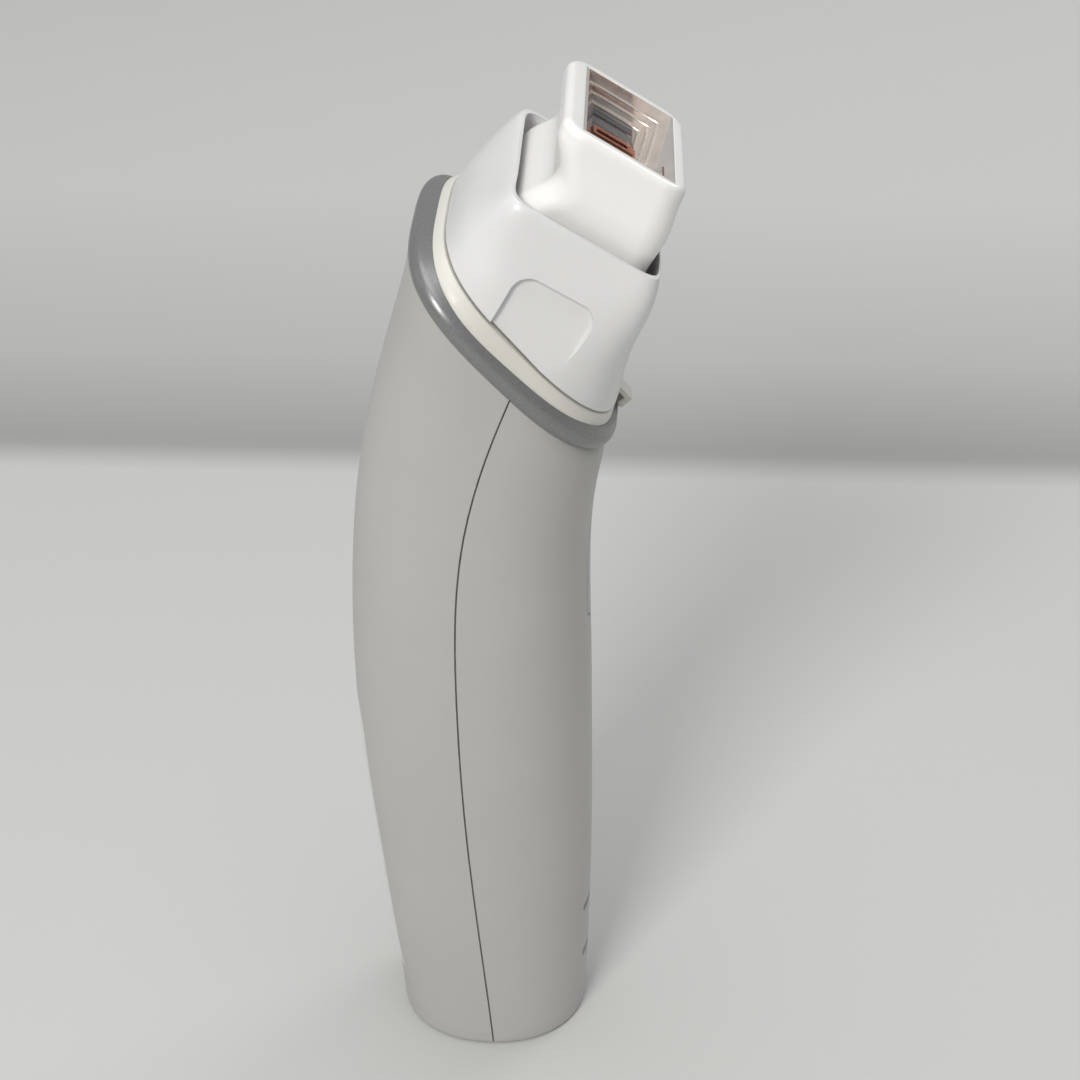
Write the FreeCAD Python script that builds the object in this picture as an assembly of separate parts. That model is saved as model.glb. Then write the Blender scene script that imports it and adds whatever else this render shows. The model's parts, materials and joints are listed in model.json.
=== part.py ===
"""Handheld pulsed-light skin handset: curved two-shell body, grey neck ring, pull-off attachment.

Frame: millimetres, +Z up, origin at the centre of the base on the surface it stands on.
+X is the concave front side, which the head leans towards; the handset is symmetric in Y.
Three working frames are used: the upright body frame, the neck frame (the tilted plane on which
the attachment seats) and the head frame (the axis along which the light leaves).
"""
import FreeCAD
import Part
import math
import os

Vec = FreeCAD.Vector
X_AXIS = Vec(1, 0, 0)
Y_AXIS = Vec(0, 1, 0)
Z_AXIS = Vec(0, 0, 1)

# ---- driving dimensions of the body -------------------------------------------------------
WALL = 2.0                      # moulded shell wall
SEAM_GAP = 0.3                  # width of the parting line groove
SEAM_DEPTH = 0.7                # depth of the parting line groove
# section stations: back x, back z, front x, front z, half width, back and front exponent, skew
STATIONS = [
    (-18.9, 0.0, 18.4, 0.0, 17.0, 2.15, 2.15, 0.00),
    (-20.8, 19.0, 18.95, 18.0, 17.75, 2.15, 2.15, 0.00),
    (-22.5, 38.0, 19.2, 36.0, 18.6, 2.15, 2.15, 0.00),
    (-24.1, 57.0, 19.15, 54.0, 19.5, 2.15, 2.15, 0.00),
    (-25.2, 76.0, 18.9, 71.5, 20.4, 2.16, 2.15, 0.01),
    (-25.2, 95.0, 18.55, 88.0, 21.1, 2.2, 2.18, 0.02),
    (-24.1, 114.0, 18.15, 103.5, 21.6, 2.28, 2.2, 0.02),
    (-21.5, 133.0, 18.3, 117.5, 22.0, 2.42, 2.25, 0.01),
    (-16.8, 152.0, 19.6, 128.5, 22.9, 2.75, 2.32, -0.03),
]
SEAM_POINTS = [(0.6, -4.0), (-3.8, 56.0), (-4.9, 92.0), (-3.0, 124.0), (4.6, 151.0), (9.0, 162.0)]
BASE_EDGE = 1.2                 # rounding of the edge it stands on
OVAL_START = 112.5              # where each outline starts, clear of the panel, seam and buttons

# ---- neck frame ---------------------------------------------------------------------------
NECK_X = 6.74
NECK_Z = 157.44
NECK_TILT = 49.3
RING_LOW = -4.4                 # underside of the ring, in the neck frame
# outlines: half length, half width, back and front exponent, skew, shift
RING_OUTLINE = (24.1, 24.3, 3.3, 2.4, -0.10, 0.95)
SEAT_OUTLINE = (22.45, 24.0, 3.25, 2.55, -0.12, 0.35)
SEAT_RIM = (21.65, 22.9, 3.28, 2.55, -0.10, -0.05)
FOOT_OUTLINE = (21.4, 22.7, 3.28, 2.55, -0.10, -0.05)
RIDGE_OUTLINE = (20.6, 22.5, 3.4, 2.8, -0.08, -1.65)
SEAT_TOP = 1.7
SEAT_SPIGOT = -5.8
FOOT_Z = 2.1                    # underside of the attachment
RIDGE_Z = 5.2                   # ridge round the back of the attachment
FRAME_T = 1.8                   # thickness of the attachment's carrier plate
TAB_LOW = 0.3                   # lower edge of the thumb lip
TAB_T = 0.8                     # thickness of the arm that carries it

# ---- attachment collar: stations above its foot and its ridge ---------------------------------
COLLAR_WALL = 1.15
COLLAR_STATIONS = [
    (-0.5, 181.1, 25.2, 156.8, 21.7, 4.6, 3.8, 0.0),
    (2.6, 183.4, 27.2, 163.2, 20.8, 7.0, 6.0, 0.0),
    (5.5, 184.85, 28.5, 171.0, 19.6, 12.0, 12.0, 0.0),
]
SIDE_THICKER = (0.9, 0.9, 0.9, 0.5, 0.0)   # extra wall at the sides of each collar section
RECESS_WIDTH = 14.5             # finger recess on each side of the collar
RECESS_HEIGHT = 17.0
RECESS_CORNER = 3.2
RECESS_TOP_Z = -8.9             # top edge of the recess, in the head frame
RECESS_FLOOR = 20.4             # distance of its floor from the middle plane, at that edge
RECESS_LEAN = 9.8               # degrees by which the floor runs out to the surface downwards
RECESS_TURN = 3.0               # degrees by which the floor follows the surface round
RECESS_COVE = 0.8

# ---- head frame ---------------------------------------------------------------------------
HEAD_X = 16.5
HEAD_Z = 178.25
HEAD_TILT = 31.0
HEAD_TOP = 13.15                # window plane above the collar rim
HEAD_BOTTOM = -9.0
HEAD_BASE = (0.75, 11.75, 16.8, 4.0)       # centre x, half x, half y, corner radius
# upright foot, waist at the back, then a block that leans back: centre x, half x, half y, radius, height
HEAD_SECTIONS = [
    HEAD_BASE + (HEAD_BOTTOM,),
    HEAD_BASE + (-5.0,),
    (0.76, 11.7, 16.85, 4.1, -1.5),
    (1.55, 10.85, 17.1, 4.4, 1.5),
    (2.05, 10.25, 17.35, 4.8, 4.5),
    (1.15, 10.55, 16.9, 4.6, 7.5),
    (-0.1, 11.1, 16.25, 4.4, 10.5),
    (-1.3, 11.5, 15.5, 4.2, HEAD_TOP),
]
HEAD_ROOM_TOP = 0.5             # top of the room inside the foot
HEAD_WALL = 2.1
WINDOW_HALF_X = 8.35
WINDOW_HALF_Y = 13.9
WINDOW_DEPTH = 5.5
FLOOR_HALF_X = 4.3
MIRROR = 0.5                    # thickness of the funnel's mirror skin

FILTER_TOP = HEAD_TOP - WINDOW_DEPTH
FILTER_T = 1.5
DUCT_HALF_X = 6.6
DUCT_HALF_Y = 13.9
DUCT_TOP = 2.5
SPRING_LOW = -14.2
CONTACT_X = 14.0                # contacts, in the neck frame
CONTACT_Y = (-5.0, 0.0, 5.0)

# ---- light unit, in the head frame ----------------------------------------------------------
LAMP_Z = -34.0
TUBE_R = 2.1
TUBE_HALF = 14.0
TROUGH_HALF = 6.4
TROUGH_WALL = 0.7
OPTICS_TOP = -26.6

# ---- controls -------------------------------------------------------------------------------
RUN_GAP = 0.35                  # gap round a moving button
FLASH_Z = 106.0
FLASH_HALF_Y = 5.0
FLASH_HALF_Z = 9.0
POWER_Z = 63.0
POWER_R = 4.3

# ---- rear panel -----------------------------------------------------------------------------
PANEL_HALF = 8.2
PANEL_LOW = 12.0
PANEL_TOP = 81.0
PANEL_THICK = 1.2
PANEL_GAP = 0.2
LEDGE = 2.0
REAR_VENT_Z = [17.0 + 3.2 * i for i in range(5)]
FRONT_VENTS = [(28.0, 2.0, 6.8), (15.5, 2.0, 6.4)]     # z, height, half width

# ---- inside the handle ------------------------------------------------------------------------
BOARD_X = 4.0
BOARD_T = 1.6
BOARD_HALF = 13.0
BOARD_LOW = 32.0
BOARD_TOP = 118.0
FAN_X = -1.5
FAN_LOW = 20.0
FAN_HEIGHT = 8.0
FAN_BORE = 12.6
FAN_TIP = 12.1
FAN_HUB = 5.5
FAN_PIN = 1.0
PIN_CLEARANCE = 0.05
SOCKET_X = 6.0


# =============================== geometry helpers =============================================
def tilted(x, z, tilt):
    """Placement whose local x runs forward and down, and whose local z is the tilted normal."""
    return FreeCAD.Placement(Vec(x, 0, z), FreeCAD.Rotation(Y_AXIS, tilt))


NECK = tilted(NECK_X, NECK_Z, NECK_TILT)
HEAD = tilted(HEAD_X, HEAD_Z, HEAD_TILT)


def placed(shape, place):
    """Copy of a shape moved from a working frame to the body frame."""
    moved = shape.copy()
    moved.transformShape(place.toMatrix())
    return moved


def neck_station(outline, z):
    """Body-frame section station for an outline lying at height z of the neck frame."""
    half_len, half_wid, back_e, front_e, skew, shift = outline
    back = NECK.multVec(Vec(shift - half_len, 0, z))
    front = NECK.multVec(Vec(shift + half_len, 0, z))
    return (back.x, back.z, front.x, front.z, half_wid, back_e, front_e, skew)


def oval(half_len, half_wid, back_e, front_e, skew, place, count=32):
    """Closed spline round an egg-shaped superellipse, widest towards +x where skew > 0."""
    points = []
    for i in range(count):
        angle = math.radians(OVAL_START) + 2 * math.pi * i / count
        c = math.cos(angle)
        s = math.sin(angle)
        exponent = back_e if c < 0 else front_e
        reach = (abs(c) ** exponent + abs(s) ** exponent) ** (-1 / exponent)
        c = c * reach
        s = s * reach
        points.append(place.multVec(Vec(half_len * c, half_wid * s * (1 + skew * c), 0)))
    curve = Part.BSplineCurve()
    curve.interpolate(points, PeriodicFlag=True)
    return Part.Wire(curve.toShape())


def station_oval(station, inset=0.0, drop=0.0, count=32):
    """Section of a tilted loft; drop moves it along its own normal."""
    back_x, back_z, front_x, front_z, width, back_e, front_e, skew = station
    tilt = math.degrees(math.atan2(back_z - front_z, front_x - back_x))
    half = math.hypot(front_x - back_x, back_z - front_z) / 2
    place = tilted((back_x + front_x) / 2, (back_z + front_z) / 2, tilt)
    place = place.multiply(FreeCAD.Placement(Vec(0, 0, drop), FreeCAD.Rotation()))
    return oval(half - inset, width - inset, back_e, front_e, skew, place, count)


def station_loft(stations, inset=0.0, low_drop=0.0, high_drop=0.0, count=32):
    """Smooth solid through all stations, with its end sections pushed out for cutting."""
    drops = [low_drop] + [0.0] * (len(stations) - 2) + [high_drop]
    wires = [station_oval(s, inset, d, count) for s, d in zip(stations, drops)]
    return Part.makeLoft(wires, True, False)


def body_loft(inset=0.0, low_drop=0.0, high_drop=0.0):
    """The handle's own loft, closed at the neck by the outline the ring sits on."""
    return station_loft(STATIONS + [neck_station(RING_OUTLINE, RING_LOW)], inset, low_drop, high_drop)


def neck_oval(outline, grow, z):
    """Outline in the neck frame, grown outwards and lifted to height z."""
    half_len, half_wid, back_e, front_e, skew, shift = outline
    place = FreeCAD.Placement(Vec(shift, 0, z), FreeCAD.Rotation())
    return oval(half_len + grow, half_wid + grow, back_e, front_e, skew, place)


def neck_prism(outline, grow, low, high):
    face = Part.Face(neck_oval(outline, grow, low))
    return face.extrude(Vec(0, 0, high - low))


def rounded_wire(cx, half_x, half_y, radius, z):
    """Rectangle with round corners, centred at (cx, 0), in a plane of constant z."""
    box = Part.makeBox(2 * half_x, 2 * half_y, 1, Vec(cx - half_x, -half_y, z))
    corners = [e for e in box.Edges if abs(e.tangentAt(e.FirstParameter).z) > 0.9]
    solid = box.makeFillet(radius, corners)
    low = [f for f in solid.Faces if abs(f.CenterOfMass.z - z) < 1e-6][0]
    return low.OuterWire


def rounded_prism(cx, half_x, half_y, radius, low, high):
    return Part.Face(rounded_wire(cx, half_x, half_y, radius, low)).extrude(Vec(0, 0, high - low))


def block(x0, x1, y0, y1, z0, z1):
    return Part.makeBox(x1 - x0, y1 - y0, z1 - z0, Vec(x0, y0, z0))


def rod(radius, start, end):
    """Cylinder between two points."""
    a = Vec(*start)
    b = Vec(*end)
    return Part.makeCylinder(radius, a.distanceToPoint(b), a, b - a)


def spring(radius, wire_r, height, turns, place):
    """Helical compression spring standing on the local xy plane."""
    helix = Part.makeHelix(height / turns, height, radius)
    start = helix.Edges[0]
    tangent = start.tangentAt(start.FirstParameter)
    ring = Part.makeCircle(wire_r, start.valueAt(start.FirstParameter), tangent)
    coil = Part.Wire(helix.Edges).makePipeShell([Part.Wire(ring)], True, True)
    return placed(coil, place)


def tube(points, radius, bend):
    """Round lead along straight runs joined by tangent arcs."""
    pts = [Vec(*p) for p in points]
    edges = []
    last = pts[0]
    for before, corner, after in zip(pts, pts[1:], pts[2:]):
        into = (corner - before).normalize()
        out = (after - corner).normalize()
        half_turn = into.getAngle(out) / 2
        cut = bend * math.tan(half_turn)
        start = corner - into * cut
        end = corner + out * cut
        to_centre = (out - into).normalize()
        centre = corner + to_centre * (bend / math.cos(half_turn))
        middle = centre - to_centre * bend
        edges.append(Part.LineSegment(last, start).toShape())
        edges.append(Part.Arc(start, middle, end).toShape())
        last = end
    edges.append(Part.LineSegment(last, pts[-1]).toShape())
    path = Part.Wire(edges)
    ring = Part.makeCircle(radius, pts[0], pts[1] - pts[0])
    return path.makePipeShell([Part.Wire(ring)], True, True)


def screw(length, place, radius=1.0):
    """Pan-head screw: head above the local xy plane, shank below it, cross recess in the head."""
    head = Part.makeCylinder(radius * 1.9, radius * 1.1, Vec(0, 0, 0))
    shank = Part.makeCylinder(radius, length, Vec(0, 0, -length))
    body = head.fuse(shank).removeSplitter()
    arm = radius * 1.1
    slot = radius * 0.25
    depth = radius * 0.6
    top = radius * 1.1
    cross = block(-arm, arm, -slot, slot, top - depth, top + 1)
    cross = cross.fuse(block(-slot, slot, -arm, arm, top - depth, top + 1))
    return placed(body.cut(cross), place)


def group(shapes):
    return Part.makeCompound(shapes)


# =============================== body shells ==================================================
def outer_body():
    solid = body_loft()
    base_edges = [e for e in solid.Edges if e.BoundBox.ZMax < 0.01]
    return solid.makeFillet(BASE_EDGE, base_edges)


def seam_front_side():
    """Everything in front of the curved parting surface."""
    curve = Part.BSplineCurve()
    curve.interpolate([Vec(x, -40, z) for x, z in SEAM_POINTS])
    low = Vec(SEAM_POINTS[0][0], -40, SEAM_POINTS[0][1])
    high = Vec(SEAM_POINTS[-1][0], -40, SEAM_POINTS[-1][1])
    far_low = Vec(60, -40, low.z)
    far_high = Vec(60, -40, high.z)
    edges = [curve.toShape(), Part.makeLine(high, far_high)]
    edges += [Part.makeLine(far_high, far_low), Part.makeLine(far_low, low)]
    return Part.Face(Part.Wire(edges)).extrude(Vec(0, 80, 0))


def panel_outline(grow, x_low=-40.0, x_high=0.0):
    """Arch-topped prism along X, in the shape of the rear panel."""
    half = PANEL_HALF + grow
    arch_z = PANEL_TOP - PANEL_HALF
    tall = block(x_low, x_high, -half, half, PANEL_LOW - grow, arch_z)
    arch = rod(half, (x_low, 0, arch_z), (x_high, 0, arch_z))
    return tall.fuse(arch).removeSplitter()


def slot_x(y_half, z, height, x_low, x_high):
    """Slot with round ends running across Y, cut along X."""
    r = height / 2
    bar = block(x_low, x_high, -(y_half - r), y_half - r, z - r, z + r)
    for side in (-1, 1):
        y = side * (y_half - r)
        bar = bar.fuse(rod(r, (x_low, y, z), (x_high, y, z)))
    return bar.removeSplitter()


def flash_prism(grow, x_low, x_high):
    """Upright rounded rectangle along X, in the shape of the flash button."""
    half_y = FLASH_HALF_Y + grow
    half_z = FLASH_HALF_Z + grow
    r = 3.2 + grow
    box = block(x_low, x_high, -half_y, half_y, FLASH_Z - half_z, FLASH_Z + half_z)
    along = [e for e in box.Edges if abs(e.tangentAt(e.FirstParameter).x) > 0.9]
    return box.makeFillet(r, along)


def shells():
    outer = outer_body()
    cavity = body_loft(WALL, -3.0, 3.0)
    skin = outer.cut(cavity)
    core = body_loft(SEAM_DEPTH, -3.0, 3.0)
    front_region = seam_front_side()
    groove_side = placed(front_region, FreeCAD.Placement(Vec(SEAM_GAP / 2, 0, 0), FreeCAD.Rotation()))
    behind_groove = placed(front_region, FreeCAD.Placement(Vec(-SEAM_GAP / 2, 0, 0), FreeCAD.Rotation()))
    groove = behind_groove.cut(groove_side).cut(core)
    front = skin.common(front_region).cut(groove)
    rear = skin.cut(front_region).cut(groove)

    front = front.cut(flash_prism(RUN_GAP, 5, 30))
    for z, height, half in FRONT_VENTS:
        front = front.cut(slot_x(half, z, height, 5, 30))

    ledge_core = body_loft(PANEL_THICK, -3.0, 3.0)
    rear = rear.cut(panel_outline(0.0).cut(ledge_core))
    rear = rear.cut(panel_outline(-LEDGE, -40, -10))
    return front, rear, outer


def rear_panel(outer):
    core = body_loft(PANEL_THICK, -3.0, 3.0)
    panel = outer.common(panel_outline(-PANEL_GAP)).cut(core)
    for z in REAR_VENT_Z:
        panel = panel.cut(slot_x(5.0, z, 1.4, -40, 0))
    panel = panel.cut(rod(POWER_R + RUN_GAP, (-40, 0, POWER_Z), (0, 0, POWER_Z)))
    for z in guide_heights():
        panel = panel.cut(rod(0.95, (-40, 0, z), (0, 0, z)))
    return panel


def base_plate():
    """Floor of the handle, with the inlet opening and four posts that carry the fan."""
    plate = body_loft(WALL + 0.1, -3.0, 3.0).common(block(-40, 40, -40, 40, 0, 2.4))
    plate = plate.cut(rod(4.2, (SOCKET_X, 0, -1), (SOCKET_X, 0, 4)))
    for x, y in base_screw_places():
        boss = rod(2.0, (x, y, 2.4), (x, y, FAN_LOW))
        plate = plate.fuse(boss)
    plate = plate.removeSplitter()
    for x, y in base_screw_places():
        plate = plate.cut(rod(1.0, (x, y, -1), (x, y, 12)))
        plate = plate.cut(rod(2.1, (x, y, -1), (x, y, 1.2)))
    return plate


def base_screw_places():
    reach = 9.2
    return [(FAN_X + sx * reach, sy * reach) for sx in (-1, 1) for sy in (-1, 1)]


# =============================== neck ============================================================
def neck_ring():
    """Satin band: bulged outside, with a bevel from its crest in to the seat."""
    profile = [(0.0, RING_LOW), (0.65, RING_LOW + 0.7), (0.9, RING_LOW + 1.6), (0.75, RING_LOW + 2.5),
               (0.25, RING_LOW + 3.2)]
    outer = Part.makeLoft([neck_oval(RING_OUTLINE, g, z) for g, z in profile], True, False)
    bevel = Part.makeLoft([neck_oval(RING_OUTLINE, 0.25, RING_LOW + 3.2),
                           neck_oval(RING_OUTLINE, -1.0, 0.0)], True, True)
    band = outer.fuse(bevel)
    hole = neck_prism(SEAT_OUTLINE, 0.06, RING_LOW - 2, 3)
    return placed(band.cut(hole), NECK)


def neck_platform():
    """Warm white seat for the attachment: a lid with a spigot that the shells close round."""
    lid = neck_prism(SEAT_OUTLINE, 0.0, RING_LOW, 0.0)
    taper = Part.makeLoft([neck_oval(SEAT_OUTLINE, 0.0, 0.0), neck_oval(SEAT_RIM, 0.0, SEAT_TOP)], True, True)
    taper = taper.makeFillet(0.3, [e for e in taper.Edges if flat_at(e, SEAT_TOP)])
    spigot = neck_prism(SEAT_OUTLINE, -3.9, SEAT_SPIGOT, RING_LOW)
    seat = lid.fuse([taper, spigot]).cut(neck_prism(SEAT_OUTLINE, -4.6, SEAT_SPIGOT - 1, SEAT_TOP - 1.8))
    seat = placed(seat, NECK)
    above = placed(block(-40, 40, -40, 40, SEAT_TOP - 1.0, 60), NECK)
    for x, y in optics_screw_places():
        seat = seat.fuse(placed(rod(1.15, (x, y, OPTICS_TOP), (x, y, -15)), HEAD).cut(above))
    for x, y in optics_screw_places():
        seat = seat.cut(placed(rod(0.62, (x, y, OPTICS_TOP - 1), (x, y, OPTICS_TOP + 2.2)), HEAD))
    seat = seat.cut(placed(rounded_prism(0, 7.6, 15.3, 1.0, -32, -15), HEAD))
    for y in CONTACT_Y:
        seat = seat.cut(placed(rod(0.75, (CONTACT_X, y, -3), (CONTACT_X, y, 4)), NECK))
    return seat.removeSplitter()


def contact_pins():
    pins = []
    for y in CONTACT_Y:
        barrel = rod(0.7, (CONTACT_X, y, -1.4), (CONTACT_X, y, SEAT_TOP))
        tip = rod(0.4, (CONTACT_X, y, SEAT_TOP), (CONTACT_X, y, SEAT_TOP + 0.04))
        pins.append(placed(barrel.fuse(tip).removeSplitter(), NECK))
    return group(pins)


# =============================== attachment ======================================================
def collar_loft(inset=0.0, drop=0.0):
    """The collar's own loft; with an inset it is the room inside, thicker-walled at the sides."""
    stations = [neck_station(FOOT_OUTLINE, FOOT_Z), neck_station(RIDGE_OUTLINE, RIDGE_Z)] + COLLAR_STATIONS
    if inset:
        stations = [s[:4] + (s[4] - extra,) + s[5:] for s, extra in zip(stations, SIDE_THICKER)]
    return station_loft(stations, inset, -drop, drop, 64)


def collar():
    shell = collar_loft().cut(collar_loft(COLLAR_WALL, 2.0))
    for side in (-1, 1):
        shell = shell.cut(recess_cutter(side))
    notch = placed(block(17.0, 26.0, -1.95, 1.95, SEAT_TOP - 2, FOOT_Z + TAB_T + 0.05), NECK)
    return shell.cut(notch)


def recess_cutter(side):
    """Flat-floored finger recess: deepest under its top edge, running out downwards."""
    half = RECESS_WIDTH / 2
    box = block(-half, half, 0, 12, -RECESS_HEIGHT, 0)
    upright = [e for e in box.Edges if abs(e.tangentAt(e.FirstParameter).y) > 0.9]
    box = box.makeFillet(RECESS_CORNER, upright)
    floor = [e for e in box.Edges if e.BoundBox.YMax < 0.01]
    box = box.makeFillet(RECESS_COVE, floor)
    turn = FreeCAD.Rotation(Z_AXIS, -RECESS_TURN).multiply(FreeCAD.Rotation(X_AXIS, RECESS_LEAN))
    box = placed(box, FreeCAD.Placement(Vec(1.3, RECESS_FLOOR, RECESS_TOP_Z), turn))
    if side < 0:
        box = box.mirror(Vec(0, 0, 0), Y_AXIS)
    return placed(box, HEAD)


def attachment_frame():
    """Carrier inside the collar's foot: seat plate, light opening and four spring posts."""
    slab = placed(block(-40, 40, -40, 40, FOOT_Z, FOOT_Z + FRAME_T), NECK)
    plate = collar_loft(COLLAR_WALL + 0.02, 2.0).common(slab)
    below = placed(block(-40, 40, -40, 40, -30, FOOT_Z), NECK)
    for x, y in spring_places():
        plate = plate.fuse(placed(rod(2.1, (x, y, -26.0), (x, y, SPRING_LOW)), HEAD).cut(below))
    plate = plate.cut(placed(rounded_prism(0, DUCT_HALF_X + 0.02, DUCT_HALF_Y + 0.02, 0.8, -30, 0), HEAD))
    plate = plate.cut(placed(block(19.58, 30, -1.92, 1.92, FOOT_Z - 1, FOOT_Z + TAB_T + 0.02), NECK))
    return plate.removeSplitter()


def spring_places():
    return [(x, y) for x in (-9.1, 10.6) for y in (-11.0, 11.0)]


def light_duct():
    """Mirrored shaft that carries the light from the handset's lens up into the head."""
    outer = rounded_prism(0, DUCT_HALF_X, DUCT_HALF_Y, 0.8, -30, DUCT_TOP)
    bore = rounded_prism(0, DUCT_HALF_X - 0.8, DUCT_HALF_Y - 0.8, 0.4, -31, 4)
    duct = placed(outer.cut(bore), HEAD)
    return duct.cut(placed(block(-40, 40, -40, 40, -30, FOOT_Z), NECK))


def release_tab():
    """Thumb lip in front of the collar's foot, on an arm that comes through the collar's notch."""
    arm = block(19.6, 23.7, -1.9, 1.9, FOOT_Z, FOOT_Z + TAB_T)
    lip = block(23.1, 24.4, -1.9, 1.9, TAB_LOW, FOOT_Z + TAB_T)
    lip = lip.makeFillet(0.35, lip.Edges)
    return placed(arm.fuse(lip).removeSplitter(), NECK)


def contact_pads():
    pads = [block(CONTACT_X - 0.9, CONTACT_X + 0.9, y - 1.4, y + 1.4, FOOT_Z - 0.05, FOOT_Z)
            for y in CONTACT_Y]
    return group([placed(p, NECK) for p in pads])


# =============================== contact head ====================================================
def contact_head():
    cx, hx, hy, r = HEAD_BASE
    solid = Part.makeLoft([rounded_wire(*section) for section in HEAD_SECTIONS], True, False)
    rim = [e for e in solid.Edges if flat_at(e, HEAD_TOP)]
    solid = solid.makeFillet(1.3, rim)
    inner = rounded_prism(cx, hx - HEAD_WALL, hy - HEAD_WALL, r - 1.4, HEAD_BOTTOM - 1, HEAD_ROOM_TOP)
    lip_room = rounded_prism(0, DUCT_HALF_X + 0.6, DUCT_HALF_Y + 0.6, 1.2, HEAD_BOTTOM - 1, HEAD_TOP - 8.9)
    spring_ledge = rounded_prism(cx, hx - HEAD_WALL, hy - HEAD_WALL, r - 1.4, HEAD_BOTTOM, HEAD_BOTTOM + 1.6)
    solid = solid.cut(inner.cut(spring_ledge)).cut(lip_room)
    solid = solid.cut(funnel(0.0)).cut(filter_bed(0.0))
    return placed(solid, HEAD)


def flat_at(edge, z):
    return abs(edge.BoundBox.ZMin - z) < 1e-4 and abs(edge.BoundBox.ZMax - z) < 1e-4


def funnel(inset):
    """The light recess: upright end walls, long walls that slope in to the glass."""
    top = WINDOW_HALF_X - inset
    floor = FLOOR_HALF_X - inset
    z_top = HEAD_TOP + 0.01
    z_low = HEAD_TOP - WINDOW_DEPTH
    y = WINDOW_HALF_Y - inset
    corners = [Vec(-top, -y, z_top), Vec(top, -y, z_top), Vec(floor, -y, z_low), Vec(-floor, -y, z_low)]
    face = Part.Face(Part.makePolygon(corners + corners[:1]))
    return face.extrude(Vec(0, 2 * y, 0))


def head_reflector():
    """Thin mirror skin on all four walls of the recess."""
    skin = funnel(0.0).cut(funnel(MIRROR))
    skin = skin.cut(block(-3.8, 3.8, -13.4, 13.4, HEAD_TOP - WINDOW_DEPTH - 1, HEAD_TOP - WINDOW_DEPTH + 1))
    below_top = block(-20, 20, -20, 20, HEAD_TOP - WINDOW_DEPTH - 2, HEAD_TOP - 0.1)
    return placed(skin.common(below_top), HEAD)


def filter_bed(gap):
    return block(-6.2 + gap, 6.2 - gap, -15.0 + gap, 15.0 - gap, FILTER_TOP - 3.6, FILTER_TOP - gap)


def filter_glass():
    pane = block(-5.4, 5.4, -14.3, 14.3, FILTER_TOP - 0.02 - FILTER_T, FILTER_TOP - 0.02)
    return placed(pane, HEAD)


def filter_frame():
    """Tray that clamps the glass against the underside of the recess."""
    tray = filter_bed(0.03)
    tray = tray.cut(block(-5.45, 5.45, -14.35, 14.35, FILTER_TOP - 0.05 - FILTER_T, FILTER_TOP + 1))
    tray = tray.cut(block(-4.4, 4.4, -13.2, 13.2, FILTER_TOP - 5, FILTER_TOP))
    return placed(tray, HEAD)


def filter_clips():
    """Two copper bridges across the glass, each with a slot along it."""
    clips = []
    for side in (-1, 1):
        bar = block(-3.75, 3.75, 2.2, 5.6, FILTER_TOP, FILTER_TOP + 0.5)
        bar = bar.cut(block(-3.2, 2.6, 2.9, 4.3, FILTER_TOP - 1, FILTER_TOP + 1))
        if side < 0:
            bar = bar.mirror(Vec(0, 0, 0), Y_AXIS)
        clips.append(placed(bar, HEAD))
    return group(clips)


def head_springs():
    height = HEAD_BOTTOM - SPRING_LOW - 0.9
    places = [HEAD.multiply(FreeCAD.Placement(Vec(x, y, SPRING_LOW + 0.45), FreeCAD.Rotation()))
              for x, y in spring_places()]
    return group([spring(1.45, 0.25, height, 6, p) for p in places])


# =============================== light unit ======================================================
def lamp_window():
    return placed(rounded_prism(0, 7.5, 15.3, 0.9, -25.8, -24.4), HEAD)


def window_seal():
    outer = rounded_prism(0, 7.5, 15.3, 0.9, OPTICS_TOP, -25.8)
    return placed(outer.cut(rounded_prism(0, 6.5, 14.2, 0.6, -28, -25)), HEAD)


def optics_bracket():
    """Frame that holds the lens, the lamp trough and the heat sink under the seat."""
    plate = rounded_prism(0, 9.2, 17.6, 1.5, OPTICS_TOP - 1.6, OPTICS_TOP)
    plate = plate.cut(rounded_prism(0, TROUGH_HALF, 14.6, 0.6, OPTICS_TOP - 3, OPTICS_TOP + 1))
    for x in (-8.4, 8.4):
        plate = plate.fuse(block(x - 0.8, x + 0.8, -14, 14, -43.0, OPTICS_TOP - 1.6))
    plate = plate.removeSplitter()
    for x, y in optics_screw_places():
        plate = plate.cut(rod(0.62, (x, y, OPTICS_TOP - 3), (x, y, OPTICS_TOP + 1)))
    return placed(plate, HEAD)


def optics_screw_places():
    return [(x, y) for x in (-6.6, 6.6) for y in (-16.5, 16.5)]


def optics_screws():
    """Screws that go up through the bracket into the posts of the seat."""
    flip = FreeCAD.Rotation(X_AXIS, 180)
    low = OPTICS_TOP - 1.6
    return group([screw(3.6, HEAD.multiply(FreeCAD.Placement(Vec(x, y, low), flip)), 0.6)
                  for x, y in optics_screw_places()])


def trough_section(radius, depth_shift):
    """Half-round trough, open upwards, extruded along Y."""
    bar = Part.makeCylinder(radius, 29.0, Vec(0, -14.5, LAMP_Z + depth_shift), Y_AXIS)
    walls = block(-radius, radius, -14.5, 14.5, LAMP_Z + depth_shift, OPTICS_TOP - 1.6)
    return bar.fuse(walls).removeSplitter()


def lamp_reflector():
    outer = trough_section(TROUGH_HALF, 0.0)
    inner = trough_section(TROUGH_HALF - TROUGH_WALL, 0.0)
    inner = inner.fuse(block(-5.6, 5.6, -14.5, 14.5, LAMP_Z, OPTICS_TOP)).removeSplitter()
    return placed(outer.cut(inner), HEAD)


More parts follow.
